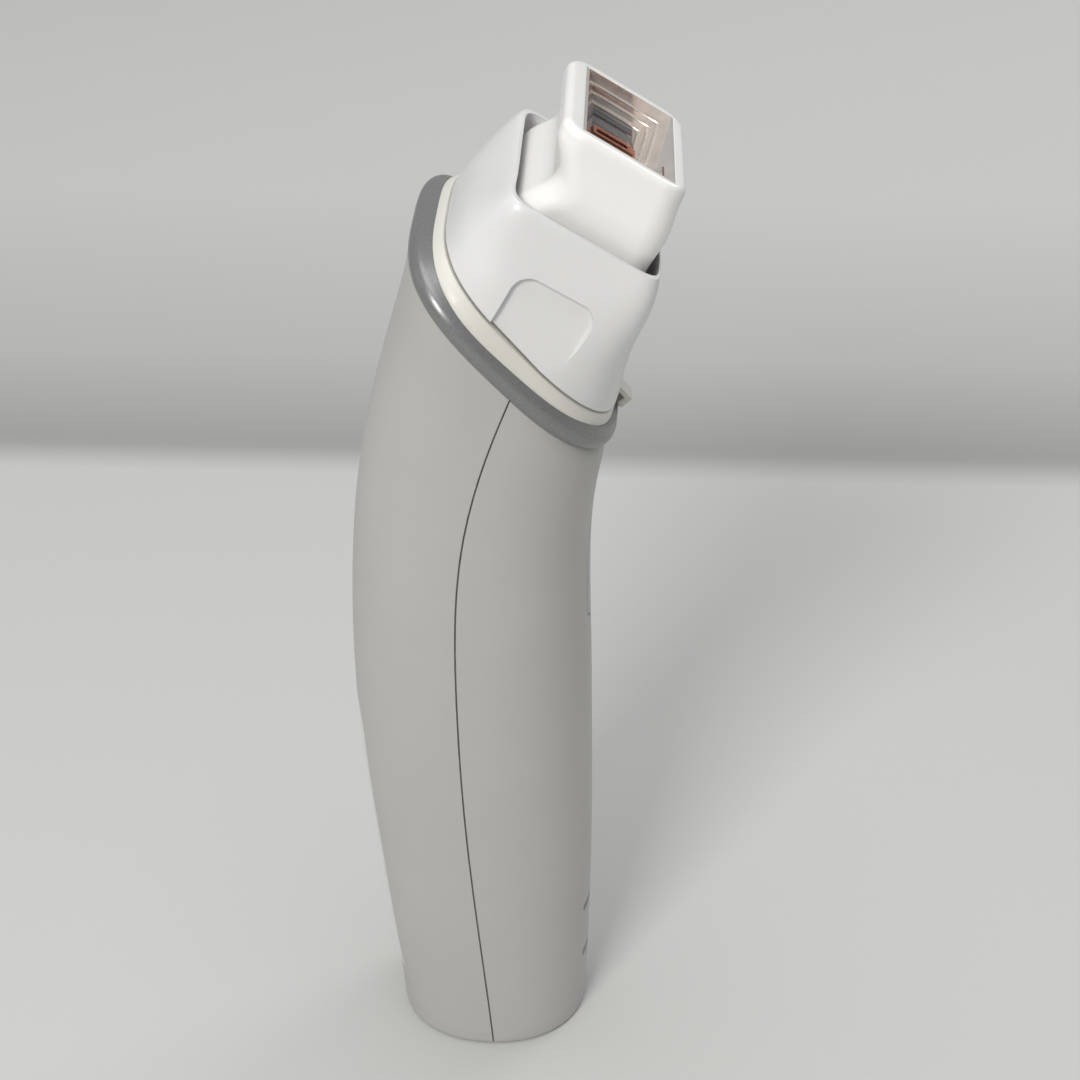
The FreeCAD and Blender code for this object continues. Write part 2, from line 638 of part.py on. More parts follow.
def flash_tube():
    glass = rod(TUBE_R, (0, -TUBE_HALF, LAMP_Z), (0, TUBE_HALF, LAMP_Z))
    bore = rod(TUBE_R - 0.6, (0, -TUBE_HALF - 1, LAMP_Z), (0, TUBE_HALF + 1, LAMP_Z))
    return placed(glass.cut(bore), HEAD)


def lamp_end_caps():
    caps = []
    for side in (-1, 1):
        plug = rod(TUBE_R - 0.65, (0, side * 11.0, LAMP_Z), (0, side * TUBE_HALF, LAMP_Z))
        cap = rod(TUBE_R, (0, side * TUBE_HALF, LAMP_Z), (0, side * 18.4, LAMP_Z))
        caps.append(placed(plug.fuse(cap).removeSplitter(), HEAD))
    return group(caps)


def lamp_holders():
    holders = []
    for side in (-1, 1):
        y0, y1 = sorted((side * 14.6, side * 16.4))
        foot = block(-4.5, 4.5, y0, y1, LAMP_Z - 5, OPTICS_TOP - 1.6)
        foot = foot.cut(rod(TUBE_R + 0.05, (0, y0 - 1, LAMP_Z), (0, y1 + 1, LAMP_Z)))
        holders.append(placed(foot, HEAD))
    return group(holders)


def heat_sink():
    """Finned block hugging the back of the lamp trough."""
    body = block(-7.4, 7.4, -12.5, 12.5, LAMP_Z - 12.5, LAMP_Z - 3.5)
    body = body.cut(rod(TROUGH_HALF + 0.05, (0, -20, LAMP_Z), (0, 20, LAMP_Z)))
    for i in range(8):
        y = -11.2 + 3.05 * i
        body = body.cut(block(-8, 8, y, y + 1.6, LAMP_Z - 14, LAMP_Z - 7.2))
    return placed(body, HEAD)


# =============================== controls ========================================================
def flash_button(outer):
    """Key whose face carries on the curve of the front shell, with a flange and a stem behind."""
    inner = body_loft(WALL, -3.0, 3.0)
    face = outer.common(flash_prism(0.0, 5, 30)).cut(inner)
    web = flash_prism(-1.2, 13.4, 17.0).common(outer)
    flange = flash_prism(0.9, 13.0, 14.2)
    stem = rod(1.5, (10.15, 0, FLASH_Z), (13.2, 0, FLASH_Z))
    return face.fuse([web, flange, stem]).removeSplitter()


def switch_body(x_low, x_high, z, bore_from, bore_to):
    box = block(min(x_low, x_high), max(x_low, x_high), -3, 3, z - 3, z + 3)
    return box.cut(rod(1.85, (bore_from, 0, z), (bore_to, 0, z)))


def flash_switch():
    low = BOARD_X + BOARD_T
    return switch_body(low, low + 3.5, FLASH_Z, low + 0.9, low + 4)


def flash_plunger():
    low = BOARD_X + BOARD_T
    return rod(1.45, (low + 2.0, 0, FLASH_Z), (10.15, 0, FLASH_Z))


def flash_button_spring():
    place = FreeCAD.Placement(Vec(9.5, 0, FLASH_Z), FreeCAD.Rotation(Y_AXIS, 90))
    return spring(2.35, 0.2, 3.1, 4, place)


def power_button(outer):
    """Round key in the rear panel."""
    face = outer.common(rod(POWER_R, (-40, 0, POWER_Z), (-21.4, 0, POWER_Z)))
    flange = rod(POWER_R + 0.9, (-21.4, 0, POWER_Z), (-20.4, 0, POWER_Z))
    stem = rod(1.3, (-20.4, 0, POWER_Z), (-19.5, 0, POWER_Z))
    return face.fuse([flange, stem]).removeSplitter()


def power_switch():
    return switch_body(-18.9, -16.4, POWER_Z, -19.5, -17.0)


def power_plunger():
    return rod(1.3, (-19.5, 0, POWER_Z), (-18.1, 0, POWER_Z))


def power_button_spring():
    place = FreeCAD.Placement(Vec(-20.15, 0, POWER_Z), FreeCAD.Rotation(Y_AXIS, 90))
    return spring(2.2, 0.18, 0.85, 2, place)


def control_board():
    board = block(-16.4, -15.2, -9.0, 9.0, 36.0, 74.0)
    for y in (-7.0, 7.0):
        board = board.cut(rod(1.1, (-18, y, 71.5), (-14, y, 71.5)))
    return board


def guide_heights():
    return [38.0 + 4.2 * i for i in range(5)]


def light_guides(outer):
    """Five short rods that carry the level lamps' light to the surface of the rear panel."""
    rods = []
    for z in guide_heights():
        rods.append(outer.common(rod(0.9, (-30, 0, z), (-17.5, 0, z))))
    return group(rods)


def status_leds():
    return group([block(-17.4, -16.4, -0.8, 0.8, z - 0.6, z + 0.6) for z in guide_heights()])


# =============================== electronics =====================================================
def main_board():
    board = block(BOARD_X, BOARD_X + BOARD_T, -BOARD_HALF, BOARD_HALF, BOARD_LOW, BOARD_TOP)
    for y in (-9.0, 9.0):
        for z in (40.0, 112.0):
            board = board.cut(rod(1.1, (0, y, z), (9, y, z)))
    return board


def chassis():
    """Carrier on top of the fan: two grooved rails that hold the main board, and cross bars."""
    parts = []
    for side in (-1, 1):
        y0, y1 = sorted((side * 11.8, side * 14.4))
        parts.append(block(1.6, 7.7, y0, y1, FAN_LOW + FAN_HEIGHT, BOARD_TOP))
    parts.append(block(1.6, 7.7, -14.4, 14.4, FAN_LOW + FAN_HEIGHT, BOARD_LOW - 0.2))
    body = parts[0].fuse(parts[1:]).removeSplitter()
    slot = block(BOARD_X - 0.1, BOARD_X + BOARD_T + 0.1, -BOARD_HALF - 0.1, BOARD_HALF + 0.1,
                 BOARD_LOW - 0.1, BOARD_TOP + 1)
    return body.cut(slot)


def flash_capacitor():
    can = rod(8.4, (-5.0, 0, 36.0), (-5.0, 0, 74.0))
    can = can.makeFillet(0.9, [e for e in can.Edges if e.Closed])
    return can


def capacitor_clip():
    """Strap that ties the capacitor to the board."""
    ring = rod(9.3, (-5.0, 0, 52.0), (-5.0, 0, 58.0)).cut(rod(8.45, (-5.0, 0, 51.0), (-5.0, 0, 59.0)))
    feet = block(0.0, BOARD_X, 6.0, 10.4, 52.0, 58.0).fuse(block(0.0, BOARD_X, -10.4, -6.0, 52.0, 58.0))
    return ring.fuse(feet.cut(rod(8.45, (-5.0, 0, 51.0), (-5.0, 0, 59.0)))).cut(
        block(BOARD_X, 20, -20, 20, 40, 70)).removeSplitter()


def transformer_core():
    """E-shaped ferrite pair round the winding, soldered to the board."""
    outer = block(-9.0, BOARD_X, -8.0, 8.0, 79.0, 95.0)
    return outer.cut(block(-6.4, 1.4, -9, 9, 82.0, 92.0))


def transformer_winding():
    spool = block(-6.3, 1.3, -6.5, 6.5, 82.1, 91.9)
    return spool.makeFillet(1.2, [e for e in spool.Edges if abs(e.tangentAt(e.FirstParameter).y) < 0.1])


def trigger_coil():
    can = rod(3.6, (-1.0, -6.0, 101.5), (-1.0, 6.0, 101.5))
    feet = block(1.2, BOARD_X, -3.5, 3.5, 100.0, 103.0)
    return can.fuse(feet).removeSplitter()


def lamp_leads():
    """Two insulated leads from the top of the board to the lamp's end caps."""
    leads = []
    for side in (-1, 1):
        end = HEAD.multVec(Vec(0, side * 17.5, LAMP_Z - TUBE_R - 0.1))
        turn = HEAD.multVec(Vec(0, side * 17.5, LAMP_Z - TUBE_R - 7.0))
        route = [(2.9, side * 9.5, 108.0), (-3.0, side * 9.5, 116.0), (turn.x, turn.y, turn.z),
                 (end.x, end.y, end.z)]
        leads.append(tube(route, 0.7, 4.0))
    return group(leads)


def inlet_leads():
    """Two leads from the inlet up to the foot of the board, past the fan."""
    leads = []
    for side in (-1, 1):
        route = [(SOCKET_X + 1.0, side * 2.0, 14.5), (SOCKET_X + 6.0, side * 4.0, 18.0),
                 (14.35, side * 4.5, 24.0), (12.8, side * 6.0, 34.0), (6.2, side * 7.5, 38.0)]
        leads.append(tube(route, 0.6, 2.2))
    return group(leads)


# =============================== fan and inlet ==================================================
def fan_housing():
    z0 = FAN_LOW
    z1 = FAN_LOW + FAN_HEIGHT
    ring = rod(14.0, (FAN_X, 0, z0), (FAN_X, 0, z1)).cut(rod(FAN_BORE, (FAN_X, 0, z0 - 1), (FAN_X, 0, z1 + 1)))
    hub = rod(5.0, (FAN_X, 0, z0), (FAN_X, 0, z0 + 1.4))
    arms = [block(FAN_X - 13, FAN_X + 13, -0.9, 0.9, z0, z0 + 1.4)]
    arms.append(block(FAN_X - 0.9, FAN_X + 0.9, -13, 13, z0, z0 + 1.4))
    body = ring.fuse([hub] + arms).removeSplitter()
    return body.cut(rod(2.0, (FAN_X, 0, z0 - 1), (FAN_X, 0, z0 + 3)))


def fan_bearing():
    """Bush pressed into the hub of the housing, in which the fan's pin runs."""
    bush = rod(2.0, (FAN_X, 0, FAN_LOW), (FAN_X, 0, FAN_LOW + 2.4))
    return bush.cut(rod(FAN_PIN + PIN_CLEARANCE, (FAN_X, 0, FAN_LOW - 1), (FAN_X, 0, FAN_LOW + 4)))


def fan_rotor():
    z0 = FAN_LOW + 2.8
    z1 = FAN_LOW + FAN_HEIGHT - 0.6
    hub = rod(FAN_HUB, (FAN_X, 0, z0), (FAN_X, 0, z1))
    blades = []
    count = 7
    for i in range(count):
        blade = block(FAN_HUB - 0.8, FAN_TIP, -0.45, 0.45, -2.0, 2.0)
        tilt = FreeCAD.Placement(Vec(0, 0, 0), FreeCAD.Rotation(X_AXIS, 38))
        blade = placed(blade, tilt)
        turn = FreeCAD.Placement(Vec(FAN_X, 0, (z0 + z1) / 2), FreeCAD.Rotation(Z_AXIS, 360.0 * i / count))
        blades.append(placed(blade, turn))
    limit = rod(FAN_TIP, (FAN_X, 0, z0 + 0.1), (FAN_X, 0, z1 - 0.1))
    fins = [b.common(limit) for b in blades]
    body = hub.fuse(fins)
    return body.cut(rod(FAN_PIN, (FAN_X, 0, z0 - 1), (FAN_X, 0, z1 - 1.0))).removeSplitter()


def fan_pin():
    return rod(FAN_PIN, (FAN_X, 0, FAN_LOW + 0.2), (FAN_X, 0, FAN_LOW + FAN_HEIGHT - 1.6))


def dc_socket():
    """Round power inlet, open downwards through the base plate."""
    body = rod(5.2, (SOCKET_X, 0, 2.5), (SOCKET_X, 0, 14.0))
    body = body.fuse(rod(4.0, (SOCKET_X, 0, 0.4), (SOCKET_X, 0, 2.5))).removeSplitter()
    return body.cut(rod(2.8, (SOCKET_X, 0, -1), (SOCKET_X, 0, 10.5)))


def dc_pin():
    return rod(1.05, (SOCKET_X, 0, 1.4), (SOCKET_X, 0, 10.5))


def base_screws():
    screws = []
    for x, y in base_screw_places():
        down = FreeCAD.Placement(Vec(x, y, 1.2), FreeCAD.Rotation(X_AXIS, 180))
        screws.append(screw(9.0, down, 0.98))
    return group(screws)


def vent_screen():
    """Fine mesh plate behind the front vents."""
    plate = body_loft(WALL + 0.03, -3.0, 3.0).cut(body_loft(WALL + 0.6, -3.0, 3.0))
    plate = plate.common(block(5, 30, -9.0, 9.0, 12.0, 31.0))
    for z in [13.6 + 2.0 * i for i in range(9)]:
        for y in [-7.0 + 2.0 * j for j in range(8)]:
            plate = plate.cut(block(5, 30, y - 0.6, y + 0.6, z - 0.6, z + 0.6))
    return plate


# =============================== assembly =======================================================
def build_all():
    front, rear, outer = shells()
    return {
        "front_shell": front,
        "rear_shell": rear,
        "base_plate": base_plate(),
        "rear_panel": rear_panel(outer),
        "neck_ring": neck_ring(),
        "neck_platform": neck_platform(),
        "contact_pins": contact_pins(),
        "attachment_collar": collar(),
        "attachment_frame": attachment_frame(),
        "light_duct": light_duct(),
        "release_tab": release_tab(),
        "contact_pads": contact_pads(),
        "contact_head": contact_head(),
        "head_reflector": head_reflector(),
        "filter_glass": filter_glass(),
        "filter_frame": filter_frame(),
        "filter_clips": filter_clips(),
        "head_springs": head_springs(),
        "lamp_window": lamp_window(),
        "window_seal": window_seal(),
        "optics_bracket": optics_bracket(),
        "optics_screws": optics_screws(),
        "lamp_reflector": lamp_reflector(),
        "flash_tube": flash_tube(),
        "lamp_end_caps": lamp_end_caps(),
        "lamp_holders": lamp_holders(),
        "heat_sink": heat_sink(),
        "flash_button": flash_button(outer),
        "flash_plunger": flash_plunger(),
        "flash_switch": flash_switch(),
        "flash_button_spring": flash_button_spring(),
        "power_button": power_button(outer),
        "power_plunger": power_plunger(),
        "power_switch": power_switch(),
        "power_button_spring": power_button_spring(),
        "control_board": control_board(),
        "light_guides": light_guides(outer),
        "status_leds": status_leds(),
        "main_board": main_board(),
        "chassis": chassis(),
        "flash_capacitor": flash_capacitor(),
        "capacitor_clip": capacitor_clip(),
        "transformer_core": transformer_core(),
        "transformer_winding": transformer_winding(),
        "trigger_coil": trigger_coil(),
        "lamp_leads": lamp_leads(),
        "inlet_leads": inlet_leads(),
        "fan_housing": fan_housing(),
        "fan_bearing": fan_bearing(),
        "fan_rotor": fan_rotor(),
        "fan_pin": fan_pin(),
        "dc_socket": dc_socket(),
        "dc_pin": dc_pin(),
        "base_screws": base_screws(),
        "vent_screen": vent_screen(),
    }


def main():
    os.makedirs("parts", exist_ok=True)
    for name, shape in build_all().items():
        shape.exportStep("parts/" + name + ".step")
        box = shape.optimalBoundingBox(False, False)
        print("%-20s solids %d valid %s volume %9.1f  x %6.1f %6.1f  y %6.1f %6.1f  z %6.1f %6.1f" % (
            name, len(shape.Solids), shape.isValid(), shape.Volume,
            box.XMin, box.XMax, box.YMin, box.YMax, box.ZMin, box.ZMax))


if __name__ == "__main__":
    main()
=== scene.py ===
"""Looks of the pulsed light handset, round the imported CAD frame. All lengths are in metres."""

import json
import math

import bpy
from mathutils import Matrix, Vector


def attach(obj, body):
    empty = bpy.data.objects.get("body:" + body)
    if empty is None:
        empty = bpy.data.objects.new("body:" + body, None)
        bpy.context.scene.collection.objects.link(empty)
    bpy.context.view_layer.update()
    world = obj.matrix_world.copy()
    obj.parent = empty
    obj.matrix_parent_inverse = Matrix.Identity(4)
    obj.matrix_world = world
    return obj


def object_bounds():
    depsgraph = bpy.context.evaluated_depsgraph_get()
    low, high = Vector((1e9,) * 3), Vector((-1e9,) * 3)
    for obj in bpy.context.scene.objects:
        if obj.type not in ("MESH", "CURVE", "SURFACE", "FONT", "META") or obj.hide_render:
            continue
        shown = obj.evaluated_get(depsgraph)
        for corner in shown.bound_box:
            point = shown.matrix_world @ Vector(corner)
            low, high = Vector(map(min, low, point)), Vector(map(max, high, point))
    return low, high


MM = 0.001

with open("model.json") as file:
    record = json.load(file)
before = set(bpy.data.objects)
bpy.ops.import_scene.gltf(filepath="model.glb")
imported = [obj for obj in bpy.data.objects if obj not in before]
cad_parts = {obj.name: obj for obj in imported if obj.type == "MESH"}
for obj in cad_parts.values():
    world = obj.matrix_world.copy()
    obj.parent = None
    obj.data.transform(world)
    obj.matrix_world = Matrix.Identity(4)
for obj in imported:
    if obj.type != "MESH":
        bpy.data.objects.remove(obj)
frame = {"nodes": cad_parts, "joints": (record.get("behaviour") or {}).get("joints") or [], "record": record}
cad_low, cad_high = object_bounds()


# ------------------------------------------------------------------ node helpers
class Shader:
    """One material under construction, with short calls for the nodes it needs."""

    def __init__(self, name, base, roughness, metallic=0.0):
        self.material = bpy.data.materials.new(name)
        self.material.use_nodes = True
        self.tree = self.material.node_tree
        self.surface = self.tree.nodes["Principled BSDF"]
        self.surface.inputs["Base Color"].default_value = (*base, 1.0)
        self.surface.inputs["Roughness"].default_value = roughness
        self.surface.inputs["Metallic"].default_value = metallic
        self.place = self.add("ShaderNodeTexCoord").outputs["Object"]
        self.normal = None

    def add(self, kind, **values):
        node = self.tree.nodes.new(kind)
        for key, value in values.items():
            setattr(node, key, value)
        return node

    def link(self, source, target):
        self.tree.links.new(source, target)

    def set(self, **values):
        """Values that are the same all over, on the shader's own sockets."""
        for key, value in values.items():
            self.surface.inputs[key.replace("_", " ")].default_value = value

    def stretched(self, scale):
        mapping = self.add("ShaderNodeMapping")
        mapping.inputs["Scale"].default_value = scale
        self.link(self.place, mapping.inputs["Vector"])
        return mapping.outputs["Vector"]

    def noise(self, feature, detail=4.0, roughness=0.55, stretch=None):
        """Noise whose features are about this many metres across."""
        node = self.add("ShaderNodeTexNoise")
        node.inputs["Scale"].default_value = 1.0 / feature
        node.inputs["Detail"].default_value = detail
        node.inputs["Roughness"].default_value = roughness
        self.link(self.stretched(stretch) if stretch else self.place, node.inputs["Vector"])
        return node.outputs["Fac"]

    def span(self, value, low, high, from_low=0.0, from_high=1.0):
        node = self.add("ShaderNodeMapRange")
        node.inputs["From Min"].default_value = from_low
        node.inputs["From Max"].default_value = from_high
        node.inputs["To Min"].default_value = low
        node.inputs["To Max"].default_value = high
        self.link(value, node.inputs["Value"])
        return node.outputs["Result"]

    def tint(self, value, dark, light, low=0.3, high=0.7):
        """Base colour that wanders between two tones with the value."""
        ramp = self.add("ShaderNodeValToRGB")
        ramp.color_ramp.elements[0].position = low
        ramp.color_ramp.elements[0].color = (*dark, 1.0)
        ramp.color_ramp.elements[1].position = high
        ramp.color_ramp.elements[1].color = (*light, 1.0)
        self.link(value, ramp.inputs["Fac"])
        self.link(ramp.outputs["Color"], self.surface.inputs["Base Color"])
        return ramp

    def rough(self, value, low, high):
        self.link(self.span(value, low, high, 0.3, 0.7), self.surface.inputs["Roughness"])

    def bump(self, value, height, strength=1.0):
        """Relief of the given height, stacked on whatever relief came before."""
        node = self.add("ShaderNodeBump")
        node.inputs["Distance"].default_value = height
        node.inputs["Strength"].default_value = strength
        self.link(value, node.inputs["Height"])
        if self.normal is not None:
            self.link(self.normal, node.inputs["Normal"])
        self.normal = node.outputs["Normal"]
        self.link(self.normal, self.surface.inputs["Normal"])

    def round_edges(self, radius):
        """Small worn radius on every hard edge."""
        node = self.add("ShaderNodeBevel", samples=6)
        node.inputs["Radius"].default_value = radius
        self.normal = node.outputs["Normal"]
        self.link(self.normal, self.surface.inputs["Normal"])


def shade(tone, amount):
    """The tone made darker or lighter, kept between 0 and 1."""
    return tuple(max(0.0, min(1.0, c * amount)) for c in tone)


# ------------------------------------------------------------------ material families
def moulded(name, tone, roughness, grain, relief, edge=0.15 * MM, coat=0.0, glow=0.0):
    """Moulded plastic: fine tool texture, slow tone drift, handling marks in the gloss."""
    s = Shader(name, tone, roughness)
    s.round_edges(edge)
    s.tint(s.noise(22 * MM, 3.0), shade(tone, 0.975), shade(tone, 1.015))
    s.rough(s.noise(7 * MM, 5.0), roughness * 0.92, roughness * 1.1)
    s.bump(s.noise(14 * MM, 1.0), 0.03 * MM, 0.25)
    s.bump(s.noise(grain, 2.0), relief)
    s.set(IOR=1.49, Coat_Weight=coat, Coat_Roughness=0.12, Specular_IOR_Level=0.5)
    if glow:
        s.set(Subsurface_Weight=glow, Subsurface_Scale=1.2 * MM)
        s.set(Subsurface_Radius=(1.0, 0.85, 0.7))
    return s.material


def satin_paint(name, tone):
    """Metallic lacquer with fine flakes under a half-gloss coat."""
    s = Shader(name, tone, 0.36, 0.5)
    s.round_edges(0.12 * MM)
    flakes = s.add("ShaderNodeTexVoronoi")
    flakes.inputs["Scale"].default_value = 1.0 / (0.16 * MM)
    s.link(s.place, flakes.inputs["Vector"])
    s.tint(flakes.outputs["Color"], shade(tone, 0.86), shade(tone, 1.12), 0.1, 0.9)
    s.rough(s.noise(5 * MM, 5.0), 0.32, 0.4)
    s.bump(s.noise(0.35 * MM, 2.0), 0.004 * MM)
    s.set(Coat_Weight=0.25, Coat_Roughness=0.22)
    return s.material


def drawn_metal(name, tone, roughness, stretch, scratch=0.004 * MM, edge=0.08 * MM):
    """Metal with fine marks drawn out along one direction."""
    s = Shader(name, tone, roughness, 1.0)
    s.round_edges(edge)
    lines = s.noise(0.6 * MM, 4.0, 0.6, stretch)
    s.tint(s.noise(4 * MM, 4.0), shade(tone, 0.9), shade(tone, 1.06))
    s.rough(lines, roughness - 0.06, roughness + 0.1)
    s.bump(lines, scratch)
    return s.material


def mirror_skin(name, tone):
    """Vacuum-coated plastic mirror: bright, with the faint ripple of the moulding under it."""
    s = Shader(name, tone, 0.08, 0.8)
    s.tint(s.noise(3 * MM, 3.0), shade(tone, 0.93), shade(tone, 1.04))
    s.rough(s.noise(1.6 * MM, 5.0), 0.05, 0.13)
    s.bump(s.noise(2.5 * MM, 2.0), 0.02 * MM, 0.6)
    s.bump(s.noise(0.5 * MM, 2.0, 0.5, (1.0, 1.0, 0.12)), 0.004 * MM)
    return s.material


def clear_glass(name, tone, roughness, pass_through):
    """Glass or clear plastic with a few wiped smears."""
    s = Shader(name, tone, roughness)
    s.tint(s.noise(9 * MM, 2.0), shade(tone, 0.95), shade(tone, 1.02))
    s.rough(s.noise(3 * MM, 5.0), roughness, roughness + 0.06)
    s.bump(s.noise(6 * MM, 1.0), 0.004 * MM)
    s.set(Transmission_Weight=pass_through, IOR=1.5, Coat_Weight=0.4, Coat_Roughness=0.03)
    return s.material


def rubber(name, tone):
    """Matt rubber or soft wire insulation, faintly mottled."""
    s = Shader(name, tone, 0.72)
    s.tint(s.noise(2 * MM, 5.0), shade(tone, 0.8), shade(tone, 1.25))
    s.rough(s.noise(1.5 * MM, 4.0), 0.62, 0.85)
    s.bump(s.noise(0.25 * MM, 3.0), 0.012 * MM)
    return s.material


def circuit_board(name, tone):
    """Solder mask over copper runs, which show as slightly raised, lighter lines."""
    s = Shader(name, tone, 0.35)
    s.round_edges(0.08 * MM)
    runs = s.add("ShaderNodeTexBrick")
    runs.inputs["Scale"].default_value = 1.0 / (6 * MM)
    runs.inputs["Mortar Size"].default_value = 0.05
    runs.inputs["Color1"].default_value = (*shade(tone, 0.85), 1.0)
    runs.inputs["Color2"].default_value = (*tone, 1.0)
    runs.inputs["Mortar"].default_value = (*shade(tone, 1.9), 1.0)
    turned = s.add("ShaderNodeMapping")
    turned.inputs["Rotation"].default_value = (math.radians(90), 0, math.radians(90))
    s.link(s.place, turned.inputs["Vector"])
    s.link(turned.outputs["Vector"], runs.inputs["Vector"])
    s.link(runs.outputs["Color"], s.surface.inputs["Base Color"])
    s.rough(s.noise(1.2 * MM, 4.0), 0.28, 0.42)
    s.bump(runs.outputs["Fac"], 0.03 * MM)
    s.set(Coat_Weight=0.4, Coat_Roughness=0.15)
    return s.material


def wound_wire(name, tone):
    """Layer-wound enamelled wire, seen as close parallel turns, with painted shade in the grooves between
    them.
    """
    s = Shader(name, tone, 0.3, 0.8)
    turns = s.add("ShaderNodeTexWave", bands_direction="Z")
    turns.inputs["Scale"].default_value = 1.0 / (1.2 * MM)
    turns.inputs["Distortion"].default_value = 0.6
    s.link(s.place, turns.inputs["Vector"])
    # Painted shade: the turns' colour darkens into the grooves between them.
    s.tint(turns.outputs["Fac"], shade(tone, 0.5), shade(tone, 1.1), 0.1, 0.8)
    s.rough(s.noise(1 * MM, 3.0), 0.24, 0.4)
    s.bump(turns.outputs["Fac"], 0.12 * MM)
    return s.material


ALONG_Z = (1.0, 1.0, 0.05)
ALONG_Y = (1.0, 0.05, 1.0)
ALONG_X = (0.05, 1.0, 1.0)

MATERIALS = {
    "body_plastic": moulded("body_plastic", (0.455, 0.448, 0.425), 0.5, 0.35 * MM, 0.006 * MM),
    "seat_plastic": moulded("seat_plastic", (0.67, 0.655, 0.60), 0.42, 0.3 * MM, 0.004 * MM),
    "ring_finish": satin_paint("ring_finish", (0.235, 0.235, 0.235)),
    "collar_plastic": moulded("collar_plastic", (0.70, 0.697, 0.69), 0.33, 0.5 * MM, 0.002 * MM,
                              0.22 * MM, 0.3, 0.1),
    "head_plastic": moulded("head_plastic", (0.85, 0.84, 0.815), 0.24, 0.6 * MM, 0.001 * MM,
                            0.3 * MM, 0.6, 0.12),
    "key_plastic": moulded("key_plastic", (0.42, 0.43, 0.45), 0.36, 0.3 * MM, 0.004 * MM),
    "mirror_skin": mirror_skin("mirror_skin", (0.90, 0.84, 0.79)),
    "filter": clear_glass("filter", (0.10, 0.10, 0.11), 0.04, 0.25),
    "clear": clear_glass("clear", (0.93, 0.95, 0.96), 0.02, 0.95),
    "copper": drawn_metal("copper", (0.50, 0.21, 0.13), 0.24, ALONG_X, 0.0006 * MM),
    "contact_metal": drawn_metal("contact_metal", (0.85, 0.66, 0.33), 0.2, ALONG_Z),
    "steel": drawn_metal("steel", (0.62, 0.62, 0.64), 0.3, ALONG_Y),
    "spring_steel": drawn_metal("spring_steel", (0.55, 0.55, 0.57), 0.28, ALONG_Z),
    "aluminium": drawn_metal("aluminium", (0.74, 0.75, 0.77), 0.34, ALONG_Z),
    "black_plastic": moulded("black_plastic", (0.025, 0.025, 0.028), 0.5, 0.3 * MM, 0.01 * MM),
    "grey_plastic": moulded("grey_plastic", (0.11, 0.115, 0.125), 0.5, 0.3 * MM, 0.01 * MM),
    "board": circuit_board("board", (0.02, 0.12, 0.05)),
    "rubber": rubber("rubber", (0.02, 0.02, 0.022)),
    "lead_insulation": rubber("lead_insulation", (0.36, 0.03, 0.02)),
    "light_plastic": clear_glass("light_plastic", (0.93, 0.95, 0.97), 0.12, 0.7),
    "lamp_chip": moulded("lamp_chip", (0.86, 0.85, 0.72), 0.3, 0.2 * MM, 0.002 * MM),
    "ferrite": moulded("ferrite", (0.045, 0.045, 0.05), 0.62, 0.15 * MM, 0.02 * MM),
    "winding": wound_wire("winding", (0.62, 0.30, 0.12)),
    "blue_sleeve": moulded("blue_sleeve", (0.02, 0.05, 0.2), 0.28, 1.5 * MM, 0.01 * MM, 0.2 * MM, 0.3),
}


# ------------------------------------------------------------------ CAD nodes
SHARP = math.radians(32)
WELD_GAP = 0.0005 * MM


def finish_node(obj, material):
    """Smooth shading with crisp corners, and the slot's finish."""
    obj.data.materials.clear()
    obj.data.materials.append(material)
    obj.data.shade_smooth()
    weld = obj.modifiers.new("weld", "WELD")
    weld.merge_threshold = WELD_GAP
    split = obj.modifiers.new("corners", "EDGE_SPLIT")
    split.split_angle = SHARP


def dress_nodes():
    for part in frame["record"]["subparts"]:
        node = part["node"]
        finish_node(frame["nodes"][node], MATERIALS[part["material_slot"]])


# ------------------------------------------------------------------ window details
class HeadFrame:
    """The contact head's own axes: u across the window, y along it, n out of it."""

    def __init__(self):
        press = next(j for j in frame["joints"] if j["name"] == "head_press")
        self.n = -Vector(press["axis"]).normalized()
        self.y = Vector((0, 1, 0))
        self.u = self.y.cross(self.n)
        glass = [v.co for v in frame["nodes"]["filter_glass"].data.vertices]
        self.middle = self.u * self.mid(self.u, glass) + self.y * self.mid(self.y, glass)
        self.floor = max(self.n.dot(p) for p in glass)

    def mid(self, axis, points):
        reach = [axis.dot(p) for p in points]
        return (min(reach) + max(reach)) / 2

    def at(self, u, y, n):
        """Point at (u, y) from the middle of the glass, n above its face."""
        return self.middle + self.u * u + self.y * y + self.n * (self.floor + n)


def soft_bar(name, head, centre, size, edge, material, tilt=0.0):
    """Bar with rounded edges, square to the head's axes or tilted about its length."""
    u, y, n = centre
    half = [s / 2 for s in size]
    lean = math.radians(tilt)
    corners = []
    for su, sy, sn in ((a, b, c) for a in (-1, 1) for b in (-1, 1) for c in (-1, 1)):
        du, dn = su * half[0], sn * half[2]
        turned_u = du * math.cos(lean) - dn * math.sin(lean)
        turned_n = du * math.sin(lean) + dn * math.cos(lean)
        corners.append(head.at(u + turned_u, y + sy * half[1], n + turned_n))
    faces = [(0, 1, 3, 2), (4, 6, 7, 5), (0, 4, 5, 1), (2, 3, 7, 6), (0, 2, 6, 4), (1, 5, 7, 3)]
    mesh = bpy.data.meshes.new(name)
    mesh.from_pydata(corners, [], faces)
    mesh.update()
    obj = bpy.data.objects.new(name, mesh)
    bpy.context.scene.collection.objects.link(obj)
    bevel = obj.modifiers.new("edge", "BEVEL")
    bevel.width = edge
    bevel.segments = 3
    mesh.materials.append(material)
    mesh.shade_smooth()
    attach(obj, "head")


